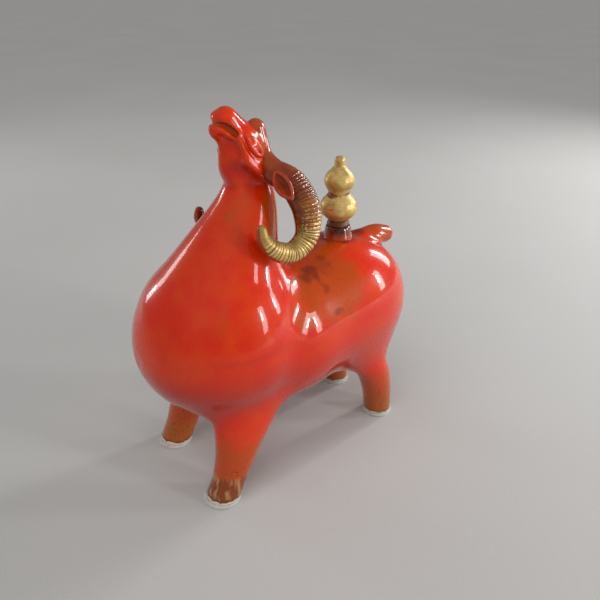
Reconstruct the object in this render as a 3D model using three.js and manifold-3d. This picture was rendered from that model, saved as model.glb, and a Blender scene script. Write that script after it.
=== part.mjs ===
// A porcelain sheep that is a flask: hollow castings luted together under one coat of glaze,
// with a gilded gourd for a stopper. The sheep faces -Y with its head thrown up, its left side
// is +X, and it stands on z = 0. All sizes are in millimetres.
import * as THREE from 'three';
import Module from 'manifold-3d';
import { mergeVertices } from 'three/addons/utils/BufferGeometryUtils.js';

const wasm = await Module();
wasm.setup();

// Clay walls, the joint between luted pieces, and the room round the stopper's plug
const wall = 4;
const seam = 0.3;
const plugRoom = 0.4;

// Masses of the body: centre and half sizes
const chest = { y: -37, z: 68.3, wide: 36, long: 38.5, tall: 35 };
const barrel = { y: 5, z: 65, wide: 29, long: 42, tall: 32 };
const shoulder = { x: 12, y: -10, z: 63, wide: 22, long: 27, tall: 27 };
const haunch = { x: 5, y: 30, z: 64.5, wide: 24, long: 33, tall: 33.5 };

// The neck is a stack of level rounds: share of the way up from the chest's middle to the
// seam under the head, y and radius. The last two run on into the head.
const neckCut = 136;
const neckProfile = [
  [0.143, -37, 33],
  [0.335, -36, 30.5],
  [0.483, -33.5, 24.6],
  [0.594, -30.5, 20.6],
  [0.72, -26, 16.8],
  [0.823, -22.6, 13.6],
  [0.904, -20.8, 11.2],
  [0.985, -20.6, 9.2],
  [1.089, -22.8, 9.7],
  [1.177, -23.3, 8.8],
];

// The left legs are stacks of level ovals: x, y, z, half length and half width. They widen
// from front to back as they run up into the body.
const frontLegRow = [
  [24, -54.5, 0, 7.9, 7.9],
  [23.8, -50, 10, 7.9, 7.9],
  [23.2, -46.3, 19, 9.1, 8.6],
  [22, -42.8, 27, 11.4, 9.6],
  [20, -37.9, 37, 15.8, 10.8],
  [17, -32.6, 46, 21.2, 12],
  [14, -29, 54, 22, 12.4],
];
const rearLegRow = [
  [18, 44.4, 0, 7, 7],
  [18, 43, 14, 7.6, 7.6],
  [17.5, 40, 26, 9, 8.4],
  [16.4, 35.4, 35, 11.6, 9.2],
  [14, 31, 46, 17, 10.5],
  [11, 28, 55, 19, 11],
];

// The tail is a row of balls: x, y, z and radius, with y and z from the haunches' middle.
const tailRow = [
  [0, 15, 29, 5],
  [0, 23, 30, 4.6],
  [0, 28.5, 28.1, 4.2],
];

// So is the left horn, with z from the seam under the head.
const hornRow = [
  [1.6, -16.6, 18.4, 4],
  [2.8, -16, 13.5, 3.8],
  [5, -15.7, 8, 4.1],
  [10, -14.3, 3.3, 5],
  [16, -10.8, 0, 5.6],
  [21, -9, -5, 5.8],
  [24.5, -8.3, -11.5, 5.6],
  [26, -10, -20.5, 4.7],
  [26, -16.5, -25.2, 4.2],
  [25.5, -24, -23.2, 4],
  [24, -28.3, -18.2, 2.8],
  [23, -28.6, -14.4, 2],
];

// Ribs run along the horn between two shares of its length. The hand-bent right horn hangs a
// little lower and wider than the left one at its tip.
const rib = { count: 34, height: 0.3, from: 0.3, to: 0.86 };
const rightTip = { out: 3, forward: 1.5, down: 6 };
const ear = {
  x: 19.6, y: -17, z: 0.2, turn: [62, 38, 6],
  long: 7.6, wide: 3.5, thick: 2, hollow: 1.5, rim: 1.4,
};

// Head: skull, muzzle, jaw, cheeks, brows and the slot of the mouth, with z from the same seam
const skull = { y: -20.5, z: 11, wide: 8.2, long: 9.6, tall: 8, pitch: 50 };
const muzzleRow = [
  [0, -21.5, 13.5, 6.8],
  [0, -28.7, 23.3, 4.7],
];
const jawRow = [
  [0, -23, 12, 5.5],
  [0, -32.9, 18.2, 2.6],
];
const cheek = { x: 5.2, y: -21.6, z: 7, radius: 4 };
const brow = { x: 5.6, y: -23.6, z: 16.4, radius: 2.6 };
const mouth = { y: -29.7, z: 18.7, wide: 9, deep: 4, open: 1, pitch: 29 };

// Mouth of the flask in the back, its collar and the length of the stopper's plug
const flask = { y: 28, bore: 4.3, rise: 6, lip: 5.8, waist: 6.4, foot: 7.2, plug: 8 };

// The double gourd above the collar: radius and height
const gourdOutline = [
  [5.3, 0], [5.2, 1.1], [4.7, 2.3], [6, 3.7], [8.2, 6.1], [8.7, 8.5], [8, 11.3], [6, 13.7],
  [4.9, 15.1], [5.4, 16.9], [6.6, 19.1], [6.9, 21.3], [5.8, 24.1], [3.6, 26.5], [2.3, 28.1],
  [2.3, 30.3], [1.6, 31.5], [0, 32],
];

// Pads under the feet
const pad = { thick: 1.8, lip: 0.4 };

const colours = { red: 0xd22a0c, brown: 0x8a3a12, gold: 0xb08a3c, pale: 0xb9b6ac };
const glaze = (color) => new THREE.MeshStandardMaterial({ color, roughness: 0.2, metalness: 0 });
const gilding = (color) => new THREE.MeshStandardMaterial({ color, roughness: 0.4, metalness: 0.8 });
const felt = (color) => new THREE.MeshStandardMaterial({ color, roughness: 0.9, metalness: 0 });

// Forms are distance fields: functions of x, y and z that are negative inside the clay.
function ball([cx, cy, cz], [rx, ry, rz], pitch = 0) {
  const cos = Math.cos(THREE.MathUtils.degToRad(pitch));
  const sin = Math.sin(THREE.MathUtils.degToRad(pitch));
  return (x, y, z) => {
    const px = x - cx;
    const py = (y - cy) * cos - (z - cz) * sin;
    const pz = (z - cz) * cos + (y - cy) * sin;
    const near = Math.hypot(px / rx, py / ry, pz / rz);
    const far = Math.hypot(px / rx ** 2, py / ry ** 2, pz / rz ** 2);
    return far > 1e-9 ? (near * (near - 1)) / far : -Math.min(rx, ry, rz);
  };
}

// The same form on both sides, or a left form carried over to one side
const pair = (shape) => (x, y, z) => shape(Math.abs(x), y, z);
const onSide = (shape, side) => (x, y, z) => shape(side * x, y, z);

// Reads a row as a smooth line of places and a smooth line of girths.
function linesOf(row) {
  const path = new THREE.CatmullRomCurve3(row.map(([x, y, z]) => new THREE.Vector3(x, y, z)));
  const girth = new THREE.CatmullRomCurve3(
    row.map(([, , , long, wide = long], i) => new THREE.Vector3(long, wide, i)));
  return { path, girth };
}

function beadsOf(row, steps = 5) {
  const { path, girth } = linesOf(row);
  const count = (row.length - 1) * steps;
  const beads = [];
  for (let i = 0; i <= count; i++) {
    const p = path.getPoint(i / count);
    const g = girth.getPoint(i / count);
    beads.push([p.x, p.y, p.z, g.x, g.y]);
  }
  return beads;
}

// A limb of balls along a curve
function limb(row) {
  const beads = beadsOf(row);
  return (x, y, z) => {
    let best = Infinity;
    for (let i = 0; i < beads.length - 1; i++) {
      const [ax, ay, az, ar] = beads[i];
      const [bx, by, bz, br] = beads[i + 1];
      const [dx, dy, dz] = [bx - ax, by - ay, bz - az];
      const along = (x - ax) * dx + (y - ay) * dy + (z - az) * dz;
      const t = THREE.MathUtils.clamp(along / (dx * dx + dy * dy + dz * dz), 0, 1);
      const off = Math.hypot(x - ax - t * dx, y - ay - t * dy, z - az - t * dz);
      best = Math.min(best, off - ar - t * (br - ar));
    }
    return best;
  };
}

// A column of level ovals, one above the other
function column(row) {
  const beads = beadsOf(row);
  const last = beads.length - 1;
  const low = beads[0][2];
  const high = beads[last][2];
  return (x, y, z) => {
    const at = THREE.MathUtils.clamp(z, low, high);
    let i = 0;
    while (i < last - 1 && beads[i + 1][2] < at) i++;
    const [ax, ay, az, along, awide] = beads[i];
    const [bx, by, bz, blong, bwide] = beads[i + 1];
    const t = (at - az) / (bz - az);
    const long = along + t * (blong - along);
    const shape = long / (awide + t * (bwide - awide));
    const off = Math.hypot((x - ax - t * (bx - ax)) * shape, y - ay - t * (by - ay)) - long;
    return Math.max(off / Math.hypot(shape, (blong - along) / (bz - az)), low - z, z - high);
  };
}

// Runs forms into each other with a soft valley between them
function blend(softness, ...fields) {
  return (x, y, z) => fields.map((f) => f(x, y, z)).reduce((a, b) => {
    const h = Math.max(softness - Math.abs(a - b), 0) / softness;
    return Math.min(a, b) - (h * h * softness) / 4;
  });
}

// The point where a ray from inside a form comes out through its surface
function surfaceFrom(form, from, way, grow = 0, reach = 80) {
  const p = new THREE.Vector3();
  const outside = (far) => {
    p.copy(from).addScaledVector(way, far);
    return form(p.x, p.y, p.z) > grow;
  };
  let low = 0;
  let high = 0.5;
  while (!outside(high) && high < reach) {
    low = high;
    high += 0.5;
  }
  for (let i = 0; i < 12; i++) {
    const middle = (low + high) / 2;
    if (outside(middle)) high = middle;
    else low = middle;
  }
  return p.copy(from).addScaledVector(way, low);
}

// Skins a form with rings of points about a spine. The rings lie across the x axis and the
// given second direction, or else square to the spine. Each end is a flat cap or a round pole.
function skin(form, { spine, across, rings, sides, grow = 0, flat = [false, false], reach = 80 }) {
  const cast = (from, way) => surfaceFrom(form, from, way, grow, reach);
  const points = spine.map((p) => new THREE.Vector3(...p));
  const last = points.length - 1;
  const startWay = points[0].clone().sub(points[1]).normalize();
  const endWay = points[last].clone().sub(points[last - 1]).normalize();
  if (!flat[0]) points.unshift(cast(points[0], startWay));
  if (!flat[1]) points.push(cast(points[points.length - 1], endWay));
  const curve = new THREE.CatmullRomCurve3(points);
  const spread = (q) => {
    if (flat[0] && flat[1]) return q;
    if (flat[0]) return Math.sin((q * Math.PI) / 2);
    if (flat[1]) return 1 - Math.cos((q * Math.PI) / 2);
    return (1 - Math.cos(q * Math.PI)) / 2;
  };
  const sideways = new THREE.Vector3(1, 0, 0);
  const vertices = [curve.getPointAt(0)];
  const first = flat[0] ? 0 : 1;
  const end = flat[1] ? rings : rings - 1;
  for (let i = first; i <= end; i++) {
    const centre = curve.getPointAt(spread(i / rings));
    const onward = curve.getTangentAt(spread(i / rings));
    const u = sideways.clone().addScaledVector(onward, -sideways.dot(onward)).normalize();
    const v = onward.clone().cross(u);
    if (across) u.copy(sideways);
    if (across) v.set(...across);
    for (let j = 0; j < sides; j++) {
      const angle = (j / sides) * 2 * Math.PI;
      const way = u.clone().multiplyScalar(Math.cos(angle)).addScaledVector(v, Math.sin(angle));
      vertices.push(cast(centre, way));
    }
  }
  vertices.push(curve.getPointAt(1));
  return solid(tube(vertices, end - first + 1, sides));
}

// A closed tube from a start point, rings of points and an end point
function tube(vertices, rings, sides) {
  const index = [];
  const at = (i, j) => 1 + i * sides + (j % sides);
  for (let j = 0; j < sides; j++) {
    index.push(0, at(0, j + 1), at(0, j));
    for (let i = 0; i < rings - 1; i++) {
      index.push(at(i, j), at(i, j + 1), at(i + 1, j + 1));
      index.push(at(i, j), at(i + 1, j + 1), at(i + 1, j));
    }
    index.push(vertices.length - 1, at(rings - 1, j), at(rings - 1, j + 1));
  }
  const geometry = new THREE.BufferGeometry().setFromPoints(vertices);
  geometry.setIndex(index);
  return geometry;
}

// A ball with its poles on the x axis, stretched to the given half sizes
function pebble(halfSizes, sides) {
  return new THREE.SphereGeometry(1, sides, sides - 4).rotateZ(Math.PI / 2).scale(...halfSizes);
}

function turned(outline, y, sides = 20) {
  const points = outline.map(([r, z]) => new THREE.Vector2(r, z));
  return solid(new THREE.LatheGeometry(points, sides).rotateX(Math.PI / 2).translate(0, y, 0));
}

function solid(geometry) {
  let plain = geometry.clone();
  plain.deleteAttribute('normal');
  plain.deleteAttribute('uv');
  plain = mergeVertices(plain, 1e-4);
  const vertProperties = new Float32Array(plain.attributes.position.array);
  const triVerts = new Uint32Array(plain.index.array);
  const made = new wasm.Manifold(new wasm.Mesh({ numProp: 3, vertProperties, triVerts }));
  if (made.volume() > 0) return made;
  for (let i = 0; i < triVerts.length; i += 3) {
    [triVerts[i], triVerts[i + 1]] = [triVerts[i + 1], triVerts[i]];
  }
  return new wasm.Manifold(new wasm.Mesh({ numProp: 3, vertProperties, triVerts }));
}

function geometryOf(manifold) {
  const { vertProperties, triVerts, numProp } = manifold.getMesh();
  const position = new Float32Array((vertProperties.length / numProp) * 3);
  for (let i = 0; i < position.length / 3; i++) {
    for (let k = 0; k < 3; k++) position[i * 3 + k] = vertProperties[i * numProp + k];
  }
  const geometry = new THREE.BufferGeometry();
  geometry.setAttribute('position', new THREE.BufferAttribute(position, 3));
  geometry.setIndex(new THREE.BufferAttribute(new Uint32Array(triVerts), 1));
  geometry.computeVertexNormals();
  return geometry;
}

const sheep = new THREE.Group();
function addPiece(name, manifold, material) {
  const mesh = new THREE.Mesh(geometryOf(manifold), material);
  mesh.name = name;
  sheep.add(mesh);
}

// Body: a teardrop of chest and neck, and the barrel with shoulders and haunches behind it
const level = [0, 1, 0];
const upright = [0, 0, 1];
const centre = ({ x = 0, y, z }) => [x, y, z];
const onHead = ({ x = 0, y, z }) => [x, y, neckCut + z];
const rowOnHead = (row) => row.map(([x, y, z, r]) => [x, y, neckCut + z, r]);
const placesOf = (row) => row.map(([x, y, z]) => [x, y, z]);
const halves = ({ wide, long, tall }) => [wide, long, tall];
const neckRow = neckProfile.map(([share, y, radius]) => (
  [0, y, THREE.MathUtils.lerp(chest.z, neckCut, share), radius]));
const neck = column(neckRow);
const chestForm = blend(6, ball(centre(chest), halves(chest)), neck);
const hindForm = blend(12,
  ball(centre(barrel), halves(barrel)),
  pair(ball(centre(shoulder), halves(shoulder))),
  pair(ball(centre(haunch), halves(haunch))));

const chestSkin = (grow) => skin(chestForm, {
  spine: [centre(chest), ...placesOf(neckRow.slice(2, 7)), [0, skull.y, neckCut + grow]],
  across: level, rings: 24, sides: 30, grow, flat: [false, true],
});
const hindSkin = (grow) => skin(hindForm, {
  spine: [[0, chest.y + chest.long / 3, barrel.z], centre(barrel), centre({ ...haunch, x: 0 })],
  across: upright, rings: 22, sides: 30, grow, flat: [true, false],
});
const chestCutter = chestSkin(seam);
const hindCutter = hindSkin(seam);

// Both castings are hollow shells that open into each other, and out through the collar.
const chestHollow = skin(chestForm, {
  spine: [centre(chest), ...placesOf(neckRow.slice(2, 4))],
  across: level, rings: 16, sides: 20, grow: -wall, flat: [false, true],
});
const hindHollow = skin(hindForm, {
  spine: [[0, chest.y + chest.long * 0.6, barrel.z], centre(barrel), centre({ ...haunch, x: 0 })],
  across: upright, rings: 16, sides: 20, grow: -wall, flat: [true, false],
});
const mouthAxis = new THREE.Vector3(0, flask.y, barrel.z);
const back = surfaceFrom(hindForm, mouthAxis, new THREE.Vector3(0, 0, 1)).z;
const rim = back + flask.rise;
const bore = turned([[0, barrel.z], [flask.bore, barrel.z], [flask.bore, rim], [0, rim]], flask.y);
addPiece('chest_and_neck', chestSkin(0).subtract(chestHollow).subtract(hindHollow),
  glaze(colours.red));
addPiece('hind_body', hindSkin(0).subtract(chestCutter).subtract(hindHollow).subtract(bore),
  glaze(colours.red));

// Head
const headForm = blend(3,
  neck,
  ball(onHead(skull), halves(skull), -skull.pitch),
  limb(rowOnHead(muzzleRow)),
  limb(rowOnHead(jawRow)),
  pair(ball(onHead(cheek), [cheek.radius, cheek.radius, cheek.radius])),
  pair(ball(onHead(brow), [brow.radius, brow.radius, brow.radius])));
const [throat, nose] = placesOf(rowOnHead(muzzleRow));
const between = (a, b, share) => a.map((v, i) => THREE.MathUtils.lerp(v, b[i], share));
const luted = [0, skull.y, neckCut - 3 * seam];
const headSkin = (grow) => skin(headForm, {
  spine: [luted, between(luted, throat, 0.5), between(throat, nose, 0.25), nose],
  rings: 26, sides: 24, grow, flat: [true, false], reach: 30,
});
const slot = solid(pebble([mouth.wide, mouth.deep, mouth.open], 14)
  .rotateX(THREE.MathUtils.degToRad(-mouth.pitch)).translate(...onHead(mouth)));
const headCutter = headSkin(seam);
addPiece('head', headSkin(0).subtract(slot).subtract(chestCutter), glaze(colours.red));

// Horns: a smooth root and tip with ribs between them, left and right
function bentRow(side) {
  return rowOnHead(hornRow).map(([x, y, z, r], i) => {
    const share = side < 0 ? i / (hornRow.length - 1) : 0;
    const out = x + share * rightTip.out;
    return [side * out, y - share * rightTip.forward, z - share * rightTip.down, r];
  });
}

function hornSkin(row, grow, ribHeight) {
  const { path, girth } = linesOf(row);
  const length = path.getLength();
  const sides = 10;
  const steps = 400;
  const frames = path.computeFrenetFrames(steps);
  const width = (at) => girth.getPoint(path.getUtoTmapping(at, at * length)).x + grow;
  const stops = [];
  const addStop = (at, past, radius) => stops.push({ at, past, radius });
  for (const share of [0.4, 0.75, 1]) {
    addStop(0, -Math.sqrt(1 - share * share) * width(0), share * width(0));
  }
  for (let i = 1; i < 9; i++) addStop((i / 9) * rib.from, 0, width((i / 9) * rib.from));
  for (let i = 0; i <= 2 * rib.count; i++) {
    const at = THREE.MathUtils.lerp(rib.from, rib.to, i / (2 * rib.count));
    addStop(at, 0, width(at) + (i % 2) * ribHeight);
  }
  for (const at of [0.9, 0.95]) addStop(at, 0, width(at));
  for (const share of [1, 0.75, 0.4]) {
    addStop(1, Math.sqrt(1 - share * share) * width(1), share * width(1));
  }
  const place = (at, past) => path.getPointAt(at).addScaledVector(path.getTangentAt(at), past);
  const vertices = [place(0, -width(0))];
  for (const { at, past, radius } of stops) {
    const k = Math.round(at * steps);
    for (let j = 0; j < sides; j++) {
      const angle = (j / sides) * 2 * Math.PI;
      vertices.push(place(at, past)
        .addScaledVector(frames.normals[k], Math.cos(angle) * radius)
        .addScaledVector(frames.binormals[k], Math.sin(angle) * radius));
    }
  }
  vertices.push(place(1, width(1)));
  return solid(tube(vertices, stops.length, sides));
}

// Ears: a hollowed leaf that lies along the horn
function leaf(side) {
  const dish = pebble([ear.long - ear.rim, ear.wide - ear.rim, ear.hollow], 10)
    .translate(0, 0, ear.thick);
  const [tip, swing, yaw] = ear.turn.map(THREE.MathUtils.degToRad);
  const lie = (geometry) => solid(geometry.rotateX(tip).rotateY(swing).rotateZ(yaw)
    .translate(...onHead(ear)).scale(side, 1, 1));
  return lie(pebble([ear.long, ear.wide, ear.thick], 12)).subtract(lie(dish));
}

for (const [side, word] of [[1, 'left'], [-1, 'right']]) {
  const otherHalf = solid(new THREE.BoxGeometry(neckCut, neckCut, neckCut)
    .translate((side * (seam - neckCut)) / 2, 0, neckCut));
  const row = bentRow(side);
  const horn = hornSkin(row, 0, rib.height).subtract(otherHalf);
  addPiece(`horn_${word}`, horn.subtract(headCutter).subtract(chestCutter), gilding(colours.gold));
  const lobe = leaf(side).subtract(headCutter).subtract(hornSkin(row, seam + rib.height, 0));
  addPiece(`ear_${word}`, lobe, glaze(colours.brown));
}

// Legs, each on its pad
function addLeg(end, row, side) {
  const word = side > 0 ? 'left' : 'right';
  const form = onSide(column(row), side);
  const [x, y, , radius] = row[0];
  const made = skin(form, {
    spine: row.map(([px, py, pz]) => [px * side, py, Math.max(pz, pad.thick + seam)]),
    across: level, rings: 12, sides: 18, flat: [true, true], reach: 30,
  });
  addPiece(`leg_${end}_${word}`, made.subtract(chestCutter).subtract(hindCutter),
    glaze(colours.red));
  const disc = new THREE.CylinderGeometry(radius + pad.lip, radius + pad.lip, pad.thick, 20);
  disc.rotateX(Math.PI / 2).translate(x * side, y, pad.thick / 2);
  addPiece(`foot_pad_${end}_${word}`, solid(disc), felt(colours.pale));
}
for (const side of [1, -1]) {
  addLeg('front', frontLegRow, side);
  addLeg('rear', rearLegRow, side);
}

const rump = tailRow.map(([x, y, z, r]) => [x, haunch.y + y, haunch.z + z, r]);
const tail = skin(limb(rump), { spine: placesOf(rump), rings: 12, sides: 16, reach: 20 });
addPiece('tail', tail.subtract(hindCutter), glaze(colours.brown));

// The collar and the gourd, turned about the same upright line
const under = rim - flask.rise - 2 * wall;
const collar = turned([
  [flask.bore, under], [flask.foot, under], [flask.foot, rim - flask.rise],
  [flask.waist, rim - flask.rise / 2], [flask.lip, rim], [flask.bore, rim],
  [flask.bore, under],
], flask.y);
addPiece('collar', collar.subtract(hindCutter), glaze(colours.brown));
const seat = rim + seam;
const plug = flask.bore - plugRoom;
const above = gourdOutline.map(([r, z]) => [r, seat + z]);
const gourd = turned([[0, seat - flask.plug], [plug, seat - flask.plug], [plug, seat], ...above],
  flask.y);
addPiece('gourd_stopper', gourd, gilding(colours.gold));

// The origin is on the ground, under the middle of the whole sheep.
const box = new THREE.Box3().setFromObject(sheep);
sheep.position.set(-(box.min.x + box.max.x) / 2, -(box.min.y + box.max.y) / 2, -box.min.z);
sheep.updateMatrixWorld(true);

export default sheep;
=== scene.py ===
# %% [markdown]
# # A porcelain sheep flask in vermilion glaze
#
# The real sheep was cast in two hollow halves. Head, horns, ears, tail, legs and collar were
# made by hand and luted on with slip, and one coat of glaze went over all. Only the gilded
# gourd is loose: it is the stopper. The frame holds the plain solids of these pieces, and
# this lesson gives them their surface, piece by piece.

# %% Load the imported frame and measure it
import math
from contextlib import contextmanager

import bmesh
import bpy
import numpy as np
from mathutils import Matrix, Vector


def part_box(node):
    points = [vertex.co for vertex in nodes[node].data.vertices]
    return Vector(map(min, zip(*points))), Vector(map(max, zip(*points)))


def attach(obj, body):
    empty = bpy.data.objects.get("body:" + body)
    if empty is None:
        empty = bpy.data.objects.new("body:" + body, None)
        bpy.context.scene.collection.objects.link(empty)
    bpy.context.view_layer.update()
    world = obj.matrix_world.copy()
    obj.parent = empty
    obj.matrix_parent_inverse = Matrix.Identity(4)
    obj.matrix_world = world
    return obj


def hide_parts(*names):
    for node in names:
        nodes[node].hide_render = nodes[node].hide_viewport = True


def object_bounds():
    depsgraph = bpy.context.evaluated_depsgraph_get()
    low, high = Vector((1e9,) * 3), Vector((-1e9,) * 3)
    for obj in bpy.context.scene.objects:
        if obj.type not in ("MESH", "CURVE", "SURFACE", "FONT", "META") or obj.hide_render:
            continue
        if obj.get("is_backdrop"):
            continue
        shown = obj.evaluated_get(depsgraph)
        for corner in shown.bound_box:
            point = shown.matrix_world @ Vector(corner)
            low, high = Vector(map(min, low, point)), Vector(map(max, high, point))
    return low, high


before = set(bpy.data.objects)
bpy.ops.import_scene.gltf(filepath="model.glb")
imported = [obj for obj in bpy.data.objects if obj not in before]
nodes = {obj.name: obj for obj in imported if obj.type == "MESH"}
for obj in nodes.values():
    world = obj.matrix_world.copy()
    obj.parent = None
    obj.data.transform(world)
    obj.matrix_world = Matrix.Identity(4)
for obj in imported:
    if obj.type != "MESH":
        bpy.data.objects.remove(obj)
cad_low, cad_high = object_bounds()
print("sheep, mm:", [round(1000 * v, 1) for v in cad_high - cad_low])

# %% [markdown]
# ## The camera
#
# The photograph looks down on the sheep from its left front. Its lens covers as much as a
# 36 mm lens does on a 36 mm wide sensor. The way the camera looks is two angles, one round
# the sheep and one above the table, so that both can be read and changed.

# %% Place the camera
def add_object(name, data):
    made = bpy.data.objects.new(name, data)
    bpy.context.collection.objects.link(made)
    return made


def way_to(round_it, above_it):
    """The way from the sheep to something, from two angles in degrees."""
    turn, rise = math.radians(round_it), math.radians(above_it)
    return Vector((
        math.sin(turn) * math.cos(rise), -math.cos(turn) * math.cos(rise), math.sin(rise)))


def look(made, way):
    made.rotation_euler = way.to_track_quat("-Z", "Y").to_euler()


camera = add_object("camera", bpy.data.cameras.new("camera"))
camera.data.lens = 36
camera.data.sensor_width = 36
camera.data.clip_start = 0.01
camera.location = (0.20422, -0.136057, 0.2052)
look(camera, -way_to(54, 28))
bpy.context.scene.camera = camera
bpy.context.scene.view_settings.view_transform = "Standard"

# %% [markdown]
# ## Clay forms
#
# A potter thinks of a body as balls and rolls of clay pressed together. The same can be said
# in numbers: each form below is a field, a function that tells for every point how many
# millimetres it lies outside the clay. Two fields blend with a soft valley between them, and
# a tool carves with a soft edge. The points of a mesh are then pressed onto the surface where
# the field is nought. That gives curves with no facets, which a gloss glaze needs, because
# its reflections show every fault.

# %% Forms: ball, limb, column
MIDDLE = np.array([0, 6.283, 0])  # mm, from the sheep's own middle to the frame's


def ball(middle, halves, pitch=0.0):
    middle, halves = np.array(middle, float), np.array(halves, float)
    cos, sin = math.cos(math.radians(pitch)), math.sin(math.radians(pitch))

    def form(p):
        x, y, z = (p - middle).T
        q = np.stack([x, y * cos - z * sin, z * cos + y * sin], 1)
        near = np.linalg.norm(q / halves, axis=1)
        far = np.linalg.norm(q / halves**2, axis=1)
        return near * (near - 1) / np.maximum(far, 1e-9)

    def mould(bm, side=1):
        made = bmesh.ops.create_uvsphere(
            bm, u_segments=32, v_segments=20, radius=1)["verts"]
        bmesh.ops.scale(bm, verts=made, vec=Vector(halves))
        turn = Matrix.Rotation(math.radians(-pitch), 3, "X")
        bmesh.ops.rotate(bm, verts=made, matrix=turn)
        bmesh.ops.translate(bm, verts=made, vec=Vector(middle * (side, 1, 1)))

    form.mould = mould
    return form


def smooth_line(row, steps=5):
    """Beads on a smooth line through the places and girths of a row."""
    row = np.array(row, float)
    row = np.vstack([2 * row[0] - row[1], row, 2 * row[-1] - row[-2]])
    beads = []
    for a, b, c, d in zip(row, row[1:], row[2:], row[3:]):
        before, here, after = (
            np.linalg.norm((v - u)[:3]) ** 0.5 for u, v in ((a, b), (b, c), (c, d)))
        leave = ((b - a) / before - (c - a) / (before + here) + (c - b) / here) * here
        meet = ((c - b) / here - (d - b) / (here + after) + (d - c) / after) * here
        for t in np.arange(steps) / steps:
            beads.append(
                b + leave * t
                + (3 * (c - b) - 2 * leave - meet) * t**2
                + (2 * (b - c) + leave + meet) * t**3)
    return np.array(beads + [row[-2]])


def limb(row):
    """A roll of clay through the beads. Far from it the field just says far."""
    far, margin = 50.0, 4
    beads = smooth_line(row, 8)
    start, way = beads[:-1, :3], np.diff(beads[:, :3], axis=0)
    girth, swell = beads[:-1, 3], np.diff(beads[:, 3])
    low = (beads[:, :3] - beads[:, 3:]).min(0) - margin
    high = (beads[:, :3] + beads[:, 3:]).max(0) + margin

    def form(p):
        made = np.full(len(p), far)
        near = ((p > low) & (p < high)).all(1)
        off = p[near][:, None] - start
        t = np.clip((off * way).sum(2) / (way**2).sum(1), 0, 1)
        off = off - t[..., None] * way
        made[near] = (np.sqrt((off**2).sum(2)) - girth - t * swell).min(1)
        return made

    def mould(bm, side=1):
        for x, y, z, r in smooth_line(row, 6):
            made = bmesh.ops.create_icosphere(
                bm, subdivisions=3 if r > 3 else 2, radius=r)["verts"]
            bmesh.ops.translate(bm, verts=made, vec=(side * x, y, z))

    form.mould = mould
    return form


def column(row):
    """Level ovals one above the other. A row entry is x, y, z, half length, half width."""
    x, y, z, long, wide = smooth_line([[*r, r[-1]][:5] for r in row]).T
    widening = np.gradient(long, z)

    def form(p):
        at = np.clip(p[:, 2], z[0], z[-1])
        cx, cy, half, side, lean = (
            np.interp(at, z, v) for v in (x, y, long, wide, widening))
        shape = half / side
        off = np.hypot((p[:, 0] - cx) * shape, p[:, 1] - cy) - half
        ends = np.maximum(z[0] - p[:, 2], p[:, 2] - z[-1])
        return np.maximum(off / np.hypot(shape, lean), ends)

    return form


# %% Join forms and carve them
def blend(softness, *forms):
    """Forms joined, with a valley of so many millimetres between them."""
    def form(p):
        made = forms[0](p)
        for other in forms[1:]:
            b = other(p)
            h = np.maximum(softness - np.abs(made - b), 0) / softness
            made = np.minimum(made, b) - h * h * softness / 4
        return made

    return form


def carve(softness, form, *tools):
    """What the tools leave of a form."""
    def left(p):
        made = form(p)
        for tool in tools:
            cut = -tool(p)
            h = np.maximum(softness - np.abs(made - cut), 0) / softness
            made = np.maximum(made, cut) + h * h * softness / 4
        return made

    return left


def pair(form):
    """The form, and its mirror image on the right side."""
    def both(p):
        return form(np.stack([np.abs(p[:, 0]), p[:, 1], p[:, 2]], 1))

    def mould(bm):
        form.mould(bm, 1)
        form.mould(bm, -1)

    both.mould = mould
    return both


# %% [markdown]
# ## The body of the sheep
#
# Chest and neck are one teardrop. Barrel, shoulders and haunches make the rear half. The legs
# are columns of level ovals that widen into the body, and the tail is a short roll of clay.

# %% Sizes of the body, in millimetres
neck_cut = 136
chest_z = 68.3
chest = ball([0, -37, chest_z], [36, 38.5, 35])
neck_profile = [
    (0.143, -37, 33), (0.335, -36, 30.5), (0.483, -33.5, 24.6), (0.594, -30.5, 20.6),
    (0.72, -26, 16.8), (0.823, -22.6, 13.6), (0.904, -20.8, 11.2), (0.985, -20.6, 9.2),
    (1.089, -22.8, 9.7)]
neck = column([
    (0, y, chest_z + share * (neck_cut - chest_z), r, r) for share, y, r in neck_profile])
rear_half = blend(
    12,
    ball([0, 5, 65], [29, 42, 32]),
    pair(ball([12, -10, 63], [22, 27, 27])),
    pair(ball([5, 30, 64.5], [24, 33, 33.5])))
front_leg = column([
    (24, -54.5, 0, 7.9, 7.9), (23.8, -50, 10, 7.9, 7.9), (23.2, -46.3, 19, 9.1, 8.6),
    (22, -42.8, 27, 11.4, 9.6), (20, -37.9, 37, 15.8, 10.8), (17, -32.6, 46, 21.2, 12),
    (14, -29, 54, 22, 12.4)])
rear_leg = column([
    (18, 44.4, 0, 7, 7), (18, 43, 14, 7.6, 7.6), (17.5, 40, 26, 9, 8.4),
    (16.4, 35.4, 35, 11.6, 9.2), (14, 31, 46, 17, 10.5), (11, 28, 55, 19, 11)])
tail = limb([(0, 44, 92.5, 6), (0, 52, 93.8, 5.2), (0, 58.3, 92.8, 4.4)])
front_half = blend(6, chest, neck)
body = blend(5, front_half, rear_half)
body = blend(7, body, pair(front_leg), pair(rear_leg))
body = blend(4, body, tail)

# %% [markdown]
# ## The head
#
# The head is thrown up, so the muzzle is its highest point. A ball for the skull, a limb for
# the muzzle and one for the jaw give the mass. On these sit the worked details: a mouth channel
# that ends in a rimmed pocket, round lips, a ridge from the mouth down the jaw, and a long
# slanting eye with two raised lids.

# %% Mass of the head
def on_head(rows):
    """Heights of a head are written from the cut of the neck."""
    return [(r[0], r[1], r[2] + neck_cut, *r[3:]) for r in rows]


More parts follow.
